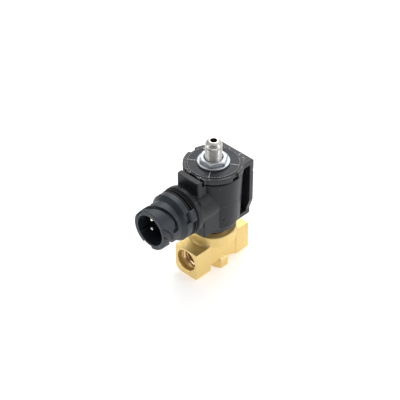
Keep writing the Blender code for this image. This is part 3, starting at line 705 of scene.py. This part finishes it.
def make_valve_body(satin, fresh):
    """The brass body in one piece, and the crests of its two port threads."""
    hub, web = hub_and_web()
    bm = added(hub, web, foot_lug(), arm_block(FRONT_Y, -ARM_ROOT), arm_block(ARM_ROOT, REAR_Y),
               boss_lip())
    inlet_radius, inlet_top = 1.6, 16.5
    outlet_y, outlet_radius, outlet_top = 4.4, 1.3, 19.6
    outlet = rod(outlet_radius, PORT_Z, outlet_top, 32)
    bmesh.ops.translate(outlet, vec=(0, outlet_y, 0), verts=outlet.verts)
    bm = cut(bm, top_socket(), port_cutter(-1, FRONT_Y, 0),
             port_cutter(1, REAR_Y, outlet_y - outlet_radius),
             rod(inlet_radius, PORT_Z, inlet_top, 32), outlet)
    bm = softened(bm, voxel=0.28, passes=5, share=0.7)
    piece("valve_body_forging", bm, satin, "valve", "brass", "valve_body")
    for name, side, face in (("front", -1, FRONT_Y), ("rear", 1, REAR_Y)):
        ends = (side * (ARM_ROOT + 0.2), face - side * (COUNTERBORE_DEPTH + 0.5))
        ridge = helical_ridge(PORT_ROOT_RADIUS + 0.05, PORT_CREST_RADIUS, PORT_PITCH, *sorted(ends),
                              PORT_PITCH * 0.92, PORT_PITCH * 0.14)
        piece(f"port_thread_{name}", along_y(ridge, PORT_Z), fresh, "valve", "brass")


# ---- tube, core, spring, nut

def make_guide_tube(mat):
    """Thin tube over a skirt and a round flange."""
    skirt, bore, flange_low, flange_high, flange = 7.5, 6.2, 26.6, tube_high.z - 37.3, 9.3
    shoulder, tube, inside = 27.6, 5.0, 4.4
    profile = rounded([(bore, tube_low.z), (skirt, tube_low.z, 0.3), (skirt, flange_low),
                       (flange, flange_low, 0.3), (flange, flange_high, 0.4), (tube, flange_high),
                       (tube, tube_high.z), (inside, tube_high.z), (inside, shoulder),
                       (bore, shoulder)])
    piece("guide_tube_turned", lathe(profile), mat, "valve", "brass", "guide_tube")


def make_fixed_core(mat):
    """Vented core: a domed tip over a short threaded stem."""
    passage, vent_floor, nose, nose_height, plug = 1.2, 72.0, 1.9, 0.4, 4.15
    bottom, collar, tip = core_low.z, tube_high.z + 0.3, core_high.z
    bead, bead_radius, shoulder = tip - 3.6, STEM_RADIUS + 0.1, tip - 2.5
    dome_radius, dome, rim_radius = 4.05, tip - 0.95, 2.75
    root, thread_low, pitch = STEM_RADIUS - 0.22, collar + 0.8, 0.75
    profile = rounded([
        (passage, bottom), (nose, bottom), (nose, bottom + nose_height),
        (plug, bottom + nose_height), (plug, collar), (STEM_RADIUS, collar),
        (STEM_RADIUS, thread_low), (root, thread_low + 0.4), (root, bead - 0.3),
        (STEM_RADIUS, bead), (bead_radius, bead + 0.2, 0.1), (bead_radius, shoulder, 1.2),
        (dome_radius, dome, 1.6), (rim_radius, tip, 0.6), (VENT_RADIUS, tip, 0.15),
        (VENT_RADIUS, vent_floor), (passage, vent_floor - 1.0)], 8)
    bm = lathe(profile, 128)
    ridge = helical_ridge(root - 0.02, STEM_RADIUS - 0.02, pitch, thread_low + 0.5, bead - 0.6,
                          pitch * 0.88, pitch * 0.16)
    piece("vent_core", append(bm, ridge), mat, "valve", "plated_steel", "fixed_core")


def make_spring(mat):
    """The plunger's return spring, built at one length; the real spring shortens as the plunger
    lifts.
    """
    radius, wire, turns, per_turn, sides = 5.2, 0.4, 4, 48, 12
    low, high = spring_low.z + wire, spring_high.z - wire
    count = per_turn * turns
    sections = []
    for i in range(count + 1):
        turn = 2 * pi * i / per_turn
        height = low + (high - low) * i / count
        section = []
        for k in range(sides):
            r, dz = radius + wire * cos(2 * pi * k / sides), wire * sin(2 * pi * k / sides)
            section.append((r * cos(turn), r * sin(turn), height + dz))
        sections.append(section)
    spring = piece("return_spring", sweep(sections), mat, "armature", "plated_steel",
                   "plunger_spring")
    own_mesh(spring)


def make_nut(mat):
    """Thin hexagon nut with both faces chamfered, built ring by ring."""
    low, high = (corner.z for corner in extent("coil_nut"))
    corner_radius, turn, bore, bevel, edge, segments = 8.25, -57.5, 5.05, 0.7, 0.12, 180
    flat = corner_radius * cos(pi / 6)
    crown, slope = flat - 0.15, 0.55

    def drop(radius):
        """How far the chamfered corners fall below the nut's flat faces."""
        return max(0.0, radius - flat + 0.1) * slope

    sections = []
    for i in range(segments):
        angle = 2 * pi * i / segments
        off = (degrees(angle) - turn) % 60 - 30
        side = flat / cos(radians(off))
        rim = side - edge
        section = [(bore, low + 0.3), (bore, high - bevel), (bore + bevel, high), (crown, high),
                   (rim, high - drop(rim)), (side, high - edge - drop(side)),
                   (side, low + edge + drop(side)), (rim, low + drop(rim)), (crown, low),
                   (bore + 0.3, low)]
        sections.append([(r * cos(angle), r * sin(angle), height) for r, height in section])
    piece("coil_nut_hex", sweep(sections, joined_ends=True), mat, "valve", "zinc_plate",
          "coil_nut", sharp=25.0)


def make_washers(mat):
    """The washers under the nut and under the coil."""
    for node, bore, edge in (("nut_washer", 5.3, 0.25), ("base_washer", 5.4, 0.3)):
        low, high = extent(node)
        profile = rounded([(bore, low.z, 0.1), (high.x, low.z, edge), (high.x, high.z, edge),
                           (bore, high.z, 0.15)])
        piece(f"{node}_turned", lathe(profile, 128), mat, "valve", "zinc_plate", node)


# ---- bracket

def plate_outline():
    """The bracket's plan: a round front with side notches, and a straight strip behind."""
    joint = (PLATE_RADIUS ** 2 - STRIP_HALF_WIDTH ** 2) ** 0.5
    notch_x, notch_half = 15.5, 2.2
    front_x, front_y, tooth, tooth_left, tooth_right = 8.4, -15.6, 0.7, -5.0, -2.4
    front_angle, notch_angle, strip_angle = 60.3, 7.5, 36.9
    right = [(front_x, front_y)]
    right += arc(0, 0, PLATE_RADIUS, -front_angle, -notch_angle, 24)
    right += [(notch_x, -notch_half), (notch_x, notch_half)]
    right += arc(0, 0, PLATE_RADIUS, notch_angle, strip_angle, 12)
    right += [(STRIP_HALF_WIDTH, joint + 0.6), (STRIP_HALF_WIDTH, yoke_high.y + 1)]
    left = [(-x, y) for x, y in reversed(right)]
    teeth = [(tooth_left, front_y), (tooth_left, front_y - tooth),
             (tooth_right, front_y - tooth), (tooth_right, front_y)]
    return left + teeth + [(-x, y) for x, y in reversed(teeth)] + right


def leg_outline():
    """Lower leg's plan: a disc cut to width."""
    right = arc(0, 0, LEG_RADIUS, -90, 33.0, 40) + [(LEG_HALF_WIDTH, yoke_high.y + 1)]
    return right + [(-x, y) for x, y in reversed(right[1:])]


def side_profile():
    """Section of the bent strip, as (y, z) points round the C."""
    r, inner_r = BEND_RADIUS, INNER_BEND_RADIUS
    top, low, back = yoke_high.z, yoke_low.z, yoke_high.y
    top_in, low_in = top - YOKE_THICKNESS, low + YOKE_THICKNESS
    outer = arc(back - r, low + r, r, -90, 0, 10) + arc(back - r, top - r, r, 0, 90, 10)
    centre = back - YOKE_THICKNESS - inner_r
    inner = arc(centre, top_in - inner_r, inner_r, 90, 0, 5)
    inner += arc(centre, low_in + inner_r, inner_r, 0, -90, 5)
    front = -PLATE_RADIUS - 1
    return [(front, low)] + outer + [(front, top), (front, top_in)] + inner + [(front, low_in)]


def make_yoke(mat):
    """The steel strip bent into a C round the coil."""
    section = across(side_profile(), -PLATE_RADIUS - 1, PLATE_RADIUS + 1)
    low, high, back = yoke_low.z, yoke_high.z, yoke_high.y
    middle, inside = (low + high) / 2, back - YOKE_THICKNESS
    plan = added(prism(plate_outline(), middle - 10, high + 1),
                 prism(leg_outline(), low - 1, middle),
                 box((-STRIP_HALF_WIDTH, inside, low - 1),
                     (STRIP_HALF_WIDTH, back + 1, middle + 1)))
    bm = common(section, plan)
    outside, below = PLATE_RADIUS + 3, low - 2
    half_widths = [(LEG_HALF_WIDTH, below), (LEG_HALF_WIDTH, TAPER_LOW),
                   (STRIP_HALF_WIDTH, TAPER_TOP), (outside, TAPER_TOP), (outside, below)]
    for side in (-1, 1):
        bm = cut(bm, upright([(side * x, z) for x, z in half_widths], inside - 0.4, back + 1))
    nick_height, nick_half, nick_depth = 62.0, 0.45, 0.5
    nick = box((STRIP_HALF_WIDTH - nick_depth, back - nick_depth, nick_height - nick_half),
               (STRIP_HALF_WIDTH + 1, back + 1, nick_height + nick_half))
    bm = cut(bm, rod(YOKE_BORE, below, high + 1), nick)
    bm = softened(bm, voxel=0.22, passes=3, share=0.5)
    piece("yoke_bracket", bm, mat, "coil", "black_paint", "yoke_frame")


def make_label(foil, ink):
    """Thin foil disc with plain radial lines and a broken ring printed on it."""
    low, high = extent("label_disc")
    bore, radius = 5.9, high.x
    print_top = high.z
    top = print_top - 0.03
    print_bottom = top - 0.02
    profile = rounded([(bore, low.z), (radius, low.z, 0.05), (radius, top, 0.08), (bore, top)])
    piece("label_disc_foil", lathe(profile, 160), foil, "coil", "label_foil", "label_disc")
    lines = bmesh.new()
    thin = (9.4, radius - 0.25, 0.16)  # start, end and half width of a radial line
    thick = (12.6, 14.5, 0.28)
    strokes = [(angle, thin) for angle in (32.5, 122.5, -145.0, -56.5)] + [(157.5, thick)]
    for angle, (start, end, half_width) in strokes:
        line = box((start, -half_width, print_bottom), (end, half_width, print_top))
        line.transform(Matrix.Rotation(radians(angle), 4, "Z"))
        append(lines, line)
    ring, half_width, dashes, filled = radius - 0.45, 0.07, 64, 0.7
    for i in range(dashes):
        begin = 360 / dashes * i
        end = begin + 360 / dashes * filled
        outline = arc(0, 0, ring + half_width, begin, end, 3)
        outline += arc(0, 0, ring - half_width, end, begin, 3)
        append(lines, prism(outline, print_bottom, print_top))
    piece("label_print", lines, ink, "coil", "label_foil")


# ---- coil

def front_block():
    """Square lower half of the neck, with upright sides and a flat underside."""
    inside = -4.0
    return box((-BLOCK_HALF_WIDTH, BLOCK_FRONT, BLOCK_BOTTOM),
               (BLOCK_HALF_WIDTH, inside, CONNECTOR_Z))


def neck():
    """Round neck for the connector, thickest at its front rim."""
    front, inside = coil_low.y, -6.0
    rim_back, taper_back = front + 3.1, front + 4.9
    profile = rounded([(0, front), (NECK_RIM_RADIUS, front, 0.5), (NECK_RIM_RADIUS, rim_back, 0.6),
                       (NECK_RADIUS, taper_back, 1.0), (NECK_RADIUS, inside), (0, inside)])
    return along_y(lathe(profile, closed=False), CONNECTOR_Z)


def mould_mark():
    """Cutter for the shallow round mark of an ejector pin on the right of the coil."""
    turn, height, radius, depth = -24.5, 41.0, 0.8, 0.35
    bm = rod(radius, COIL_RADIUS_BOTTOM + 0.3 - depth, COIL_RADIUS_TOP + 1, 32)
    bm.transform(Matrix.Translation((0, 0, height)) @ Matrix.Rotation(radians(turn), 4, "Z")
                 @ Matrix.Rotation(pi / 2, 4, "Y"))
    return bm


def parting_line():
    """Thin flash line round the coil where the halves of the mould met."""
    height, half, proud, rooted = 49.5, 0.14, 0.10, 0.3
    neck_half_width, reach = 12, 20
    share = (height - COIL_BOTTOM) / (COIL_TOP - COIL_BOTTOM)
    radius = COIL_RADIUS_BOTTOM + (COIL_RADIUS_TOP - COIL_RADIUS_BOTTOM) * share
    ring = lathe([(radius - rooted, height - half), (radius, height - half),
                  (radius + proud, height), (radius, height + half),
                  (radius - rooted, height + half)], 160)
    return cut(ring, box((-reach, coil_high.y, height - 1), (reach, radius + 1, height + 1)),
               box((-neck_half_width, -reach, height - 1), (neck_half_width, 0, height + 1)))


def winding_space():
    """Cutter for the hollow that holds the bobbin and winding."""
    end_bore, cavity, cavity_low, cavity_high = 7.4, 13.7, 36.0, 63.2
    below, above = COIL_BOTTOM - 1, COIL_TOP + 1
    profile = [(0, below), (end_bore, below), (end_bore, cavity_low), (cavity, cavity_low),
               (cavity, cavity_high), (end_bore, cavity_high), (end_bore, above), (0, above)]
    return lathe(profile, closed=False)


def make_coil_housing(mat):
    """The black moulding: a slightly tapered drum with a shelf, a neck and a block in front."""
    outer = rounded([(0, COIL_BOTTOM), (COIL_RADIUS_BOTTOM, COIL_BOTTOM, 0.7),
                     (COIL_RADIUS_TOP, COIL_TOP, 0.7), (0, COIL_TOP)])
    shelf_top, shelf_back = coil_high.z, -8
    shelf_plan = rounded([
        (-SHELF_HALF_WIDTH, SHELF_FRONT, 0.8), (SHELF_HALF_WIDTH, SHELF_FRONT, 1.4),
        (SHELF_HALF_WIDTH, shelf_back), (-SHELF_HALF_WIDTH, shelf_back)])
    bm = added(lathe(outer, 128, closed=False), front_block(), neck(),
               prism(shelf_plan, CONNECTOR_Z, shelf_top))
    lip_back, past_shelf, past_coil = -16.8, 9.5, 20
    above = box((-past_shelf, lip_back, COIL_TOP), (past_shelf, -5, shelf_top + 1))
    flat_back = box((-past_coil, coil_high.y, yoke_low.z),
                    (past_coil, COIL_RADIUS_TOP + 1, yoke_high.z))
    bore_end, slot_half = SPIGOT_END + 0.8, 5.2
    connector_bore = along_y(rod(NECK_BORE, coil_low.y - 1, bore_end), CONNECTOR_Z)
    lead_slot = box((-slot_half, bore_end - 0.8, CONNECTOR_Z - slot_half),
                    (slot_half, -10, CONNECTOR_Z + slot_half))
    bm = cut(bm, above, flat_back, winding_space(), connector_bore, lead_slot, mould_mark())
    bm = append(softened(bm, voxel=0.24, passes=3, share=0.4), parting_line())
    piece("coil_moulding", bm, mat, "coil", "black_plastic", "coil_housing")


# ---- connector

# One of three tracks, a third of a turn apart: its edges as (angle, distance behind the rim).
TRACK_TURN = 120.0
GROOVE_FRONT = [
    (5, 6.4), (12, 6.3), (15, 6.9), (19, 8.0), (28, 8.0), (39, 7.7), (52, 7.4), (62, 6.9),
    (74, 6.3), (81, 6.0), (89, 5.2), (95, 4.3), (103, 3.3), (113, 2.7), (122, 0.9), (125, -1.0),
    (155, -1.0)]
GROOVE_BACK = [
    (5, 8.6), (8, 9.8), (13, 10.1), (33, 10.3), (44, 9.9), (54, 9.6), (65, 9.0), (77, 8.4),
    (89, 7.7), (107, 6.9), (118, 6.1), (130, 4.6), (143, 2.9), (151, 1.3), (155, 0.4)]


def groove_share(angle, behind):
    """How deep the helical grooves are at a place on the barrel, from 0 to 1."""
    edge, per_degree = 0.35, radians(LAND_RADIUS)
    start, end = GROOVE_BACK[0][0], GROOVE_BACK[-1][0]
    deepest = 0.0
    for at in (angle % TRACK_TURN, angle % TRACK_TURN + TRACK_TURN):
        inside = min(behind - level(GROOVE_FRONT, at), level(GROOVE_BACK, at) - behind)
        ends = min(at - start, end - at) * per_degree
        deepest = max(deepest, ramp(min(inside, ends) + edge / 2, edge))
    return deepest


def pocket_depth(angle, behind):
    """The rectangular pocket in the rear collar, as a depth in millimetres."""
    start, end, front, back, depth, edge = 13, 37, 15.0, 18.0, 1.6, 0.4
    around = min(angle - start, end - angle) * radians(COLLAR_RADIUS)
    along = min(behind - front, back - behind)
    return depth * ramp(min(around, along) + edge / 2, edge)


def key_rib(angle):
    """Height of the keying ribs inside the socket."""
    height, half, edge = 0.75, 0.7, 0.3
    best = 0.0
    for centre in (22, 75, 158, 215, 300):
        off = abs((angle - centre + 180) % 360 - 180) * radians(SOCKET_BORE)
        best = max(best, ramp(half + edge / 2 - off, edge))
    return height * best


def barrel_shape(angle, y, radius):
    """New radius of a point on the plain turned barrel."""
    behind = y - RIM_Y
    rib_start, rib_end, tracks_end, depth_share = 1.2, 14, 11.0, 0.98
    if radius < SOCKET_BORE + 0.2:
        rib = key_rib(angle) * ramp(behind - rib_start, 0.5)
        return radius - rib if behind < rib_end else radius
    if TRACK_FLOOR < radius < LAND_RADIUS + 0.01 and behind < tracks_end:
        return radius - (radius - TRACK_FLOOR) * depth_share * groove_share(angle, behind)
    if radius > LAND_RADIUS + 0.01:
        return radius - pocket_depth(angle, behind)
    return radius


def reshape(bm, change):
    """Moves each point in or out from the connector's axis; change gives its new radius."""
    for vert in bm.verts:
        x, z = vert.co.x, vert.co.z - CONNECTOR_Z
        radius = hypot(x, z)
        if radius > 0.01:
            scale = change(degrees(atan2(z, x)), vert.co.y, radius) / radius
            vert.co.x, vert.co.z = x * scale, CONNECTOR_Z + z * scale
    return bm


def make_barrel(mat):
    """Bayonet socket: three helical tracks, a flared flank, a collar and a spigot."""
    rim, back = RIM_Y, seal_low.y - 0.2
    spigot, seat_bore, seat = 11.0, 8.0, carrier_low.y + 4.0
    channel, channel_depth, flank_back = rim + 12.1, 0.35, rim + 15.4
    outer = rounded([
        (SOCKET_BORE, rim), (LAND_RADIUS, rim, 0.35), (LAND_RADIUS, channel, 0.2),
        (LAND_RADIUS - channel_depth, channel + 0.3, 0.1),
        (LAND_RADIUS - channel_depth, channel + 0.9, 0.4),
        (COLLAR_RADIUS - 0.25, flank_back - 0.4, 0.2), (COLLAR_RADIUS, flank_back, 0.15),
        (COLLAR_RADIUS, back, 0.3), (spigot, back)])
    inner = [(spigot, SPIGOT_END), (seat_bore, SPIGOT_END), (seat_bore, seat), (SOCKET_BORE, seat)]
    bore = refined([(SOCKET_BORE, seat), (SOCKET_BORE, rim + 0.01)], 1.0)[1:]
    profile = refined(outer, 0.2) + inner + bore
    bm = reshape(along_y(lathe(profile, 360), CONNECTOR_Z), barrel_shape)
    piece("bayonet_barrel", bm, mat, "coil", "grey_plastic", "connector_barrel", sharp=55.0)


def make_key_tab(mat):
    """Short tab that bridges the seal and stops the connector turning in the neck."""
    start, end, steps = 10, 38, 10
    inner, outer = 12.3, NECK_RIM_RADIUS - 0.15
    front, back = seal_low.y - 0.6, seal_high.y - 0.7
    sections = []
    for i in range(steps + 1):
        angle = radians(start + (end - start) * i / steps)
        corners = ((inner, front), (outer, front), (outer, back), (inner, back))
        sections.append([(r * cos(angle), y, CONNECTOR_Z + r * sin(angle)) for r, y in corners])
    piece("connector_key_tab", bevelled(sweep(sections), 0.3), mat, "coil", "grey_plastic")


def make_seal(mat):
    """Ribbed seal between the connector's collar and the neck."""
    front, back, bore = seal_low.y, seal_high.y, 11.3
    crest, groove, rib = seal_high.x - 0.2, 12.6, seal_high.x
    ribs = [(crest, 0.8, 0.2), (groove, 1.1, 0.2), (groove, 1.8, 0.2), (rib, 2.0, 0.2),
            (rib, 2.6, 0.2), (groove, 2.8, 0.2), (groove, 3.3, 0.1), (crest, 3.5, 0.15)]
    profile = rounded(
        [(bore, front), (crest, front, 0.2)]
        + [(radius, front + behind, rounding) for radius, behind, rounding in ribs]
        + [(crest, back, 0.1), (bore, back)], 3)
    piece("interface_seal_ring", along_y(lathe(profile, 144), CONNECTOR_Z), mat, "coil", "rubber",
          "interface_seal")


def make_contacts(black, tin):
    """Contact carrier with two live pins and two empty chambers."""
    nose, stem, shoulder = carrier_high.x, 7.7, carrier_low.y + 3.7
    face, back = carrier_low.y, carrier_high.y
    chamber, recess_depth, chamber_depth = 2.0, 1.2, 2.6
    profile = rounded([(0, face), (nose, face, 0.3), (nose, shoulder), (stem, shoulder),
                       (stem, back), (0, back)])
    bm = along_y(lathe(profile, closed=False), CONNECTOR_Z)
    pin_low, pin_high = extent("contact_pin_1")
    pin_x = (pin_low.x + pin_high.x) / 2
    pin_radius = (pin_high.x - pin_low.x) / 2
    rise = (pin_low.z + pin_high.z) / 2 - CONNECTOR_Z
    front = face - 1
    for side in (-1, 1):
        height = CONNECTOR_Z + side * rise
        bm = cut(bm, along_y(rod(pin_radius + 0.2, front, back + 1, 32), height, pin_x),
                 along_y(rod(chamber, front, face + recess_depth, 48), height, pin_x),
                 along_y(rod(chamber, front, face + chamber_depth, 48), height, -pin_x))
    piece("contact_carrier", bm, black, "coil", "black_plastic", "pin_carrier")
    tip, root = pin_low.y, pin_high.y
    profile = rounded([(0, tip), (pin_radius, tip, 0.9), (pin_radius, root), (0, root)], 8)
    for number, side in ((1, 1), (2, -1)):
        bm = along_y(lathe(profile, 48, closed=False), CONNECTOR_Z + side * rise, pin_x)
        piece(f"contact_{number}", bm, tin, "coil", "tinned_contact", f"contact_pin_{number}")


# ---- studio

VALVE_MIDDLE = Vector((0, 0, 0.04))
BRIGHTEST = Vector((-0.20, 0.55, 0.81))  # towards the surround's brightest part
# Brightness of the surround, as (how far a direction faces the brightest part, grey).
SURROUND = [(0.0, 0.16), (0.25, 0.24), (0.60, 0.62), (0.95, 1.15), (1.0, 1.0)]


def make_camera():
    """Camera above the front right, looking down on the valve."""
    data = bpy.data.cameras.new("camera")
    data.sensor_width, data.lens = 36.0, 136.08
    data.clip_start, data.clip_end = 0.05, 50.0
    camera = placed("camera", data)
    camera.location = (0.4578, -0.4764, 0.5675)
    camera.rotation_euler = (radians(51.56), 0, radians(44.5))
    bpy.context.scene.camera = camera


def make_floor():
    """Plain pale floor that glows a little, so that its shadows stay soft."""
    bm = bmesh.new()
    bmesh.ops.create_grid(bm, x_segments=8, y_segments=8, size=6.0)
    mesh = stored("floor", bm)
    f = Finish("floor_white", Emission_Color=(1.0, 1.0, 1.0, 1.0), Emission_Strength=0.48)
    f.colour(f.mixed(f.noise(400.0), (0.80, 0.80, 0.80), (0.83, 0.83, 0.83)))
    f.rough(f.noise(400.0), 0.75, 0.8)
    mesh.materials.append(f.material)
    placed("floor", mesh)


def area_light(name, size, power, location):
    """A rectangular softbox aimed at the middle of the valve; sizes and places in metres."""
    data = bpy.data.lights.new(name, "AREA")
    data.shape = "RECTANGLE"
    data.size, data.size_y = size
    data.energy = power
    obj = placed(name, data)
    obj.location = location
    obj.rotation_euler = (VALVE_MIDDLE - Vector(location)).to_track_quat("-Z", "Y").to_euler()


def make_world():
    """Studio surround, brightest high behind the valve and dim towards the front."""
    world = bpy.data.worlds.new("studio")
    world.use_nodes = True
    tree = world.node_tree
    back = tree.nodes["Background"]
    place = tree.nodes.new("ShaderNodeTexCoord")
    towards = tree.nodes.new("ShaderNodeVectorMath")
    towards.operation = "DOT_PRODUCT"
    towards.inputs[1].default_value = BRIGHTEST
    blend = tree.nodes.new("ShaderNodeValToRGB")
    stops = blend.color_ramp.elements
    for facing, _ in SURROUND[1:-1]:
        stops.new(facing)
    for stop, (_, grey) in zip(stops, SURROUND):
        stop.color = (grey, grey, grey, 1)
    tree.links.new(place.outputs["Generated"], towards.inputs[0])
    tree.links.new(towards.outputs["Value"], blend.inputs["Fac"])
    tree.links.new(blend.outputs["Color"], back.inputs["Color"])
    bpy.context.scene.world = world


def make_studio():
    """Camera, floor, surround and four softboxes."""
    make_camera()
    make_floor()
    make_world()
    area_light("back_softbox", (0.7, 0.5), 2.6, (-0.30, 0.50, 0.70))
    area_light("right_softbox", (0.3, 0.5), 1.5, (0.70, 0.30, 0.35))
    area_light("front_fill", (0.5, 0.5), 0.35, (-0.35, -0.55, 0.55))
    area_light("low_front", (0.30, 0.16), 0.35, (-0.30, -0.48, 0.11))
    bpy.context.scene.view_settings.view_transform = "Standard"


# ---- main

def main():
    """Gives every CAD node its material, then builds the shown pieces and the studio."""
    black, grey, rubber = black_plastic_finish(), grey_plastic_finish(), rubber_finish()
    nickel, zinc = plated_steel_finish(), zinc_finish()
    brass, cut_brass = brass_finish(), cut_brass_finish()
    foil, copper = label_finish(), copper_finish()
    slots = {
        "brass": cut_brass, "plated_steel": nickel, "zinc_plate": zinc,
        "soft_iron": iron_finish(), "black_paint": paint_finish(), "black_plastic": black,
        "grey_plastic": grey, "natural_plastic": natural_plastic_finish(), "copper": copper,
        "rubber": rubber, "label_foil": foil, "tinned_contact": tin_finish(),
    }
    for part in frame["record"]["subparts"]:
        node = frame["nodes"][part["node"]]
        node.data.materials.clear()
        node.data.materials.append(slots[part["material_slot"]])
    make_valve_body(brass, cut_brass)
    make_guide_tube(dull_brass_finish())
    make_fixed_core(nickel)
    make_spring(nickel)
    make_nut(zinc)
    make_washers(zinc)
    make_yoke(slots["black_paint"])
    make_label(foil, print_finish())
    make_coil_housing(black)
    make_barrel(grey)
    make_key_tab(grey)
    make_seal(rubber)
    make_contacts(black, slots["tinned_contact"])
    make_studio()


main()
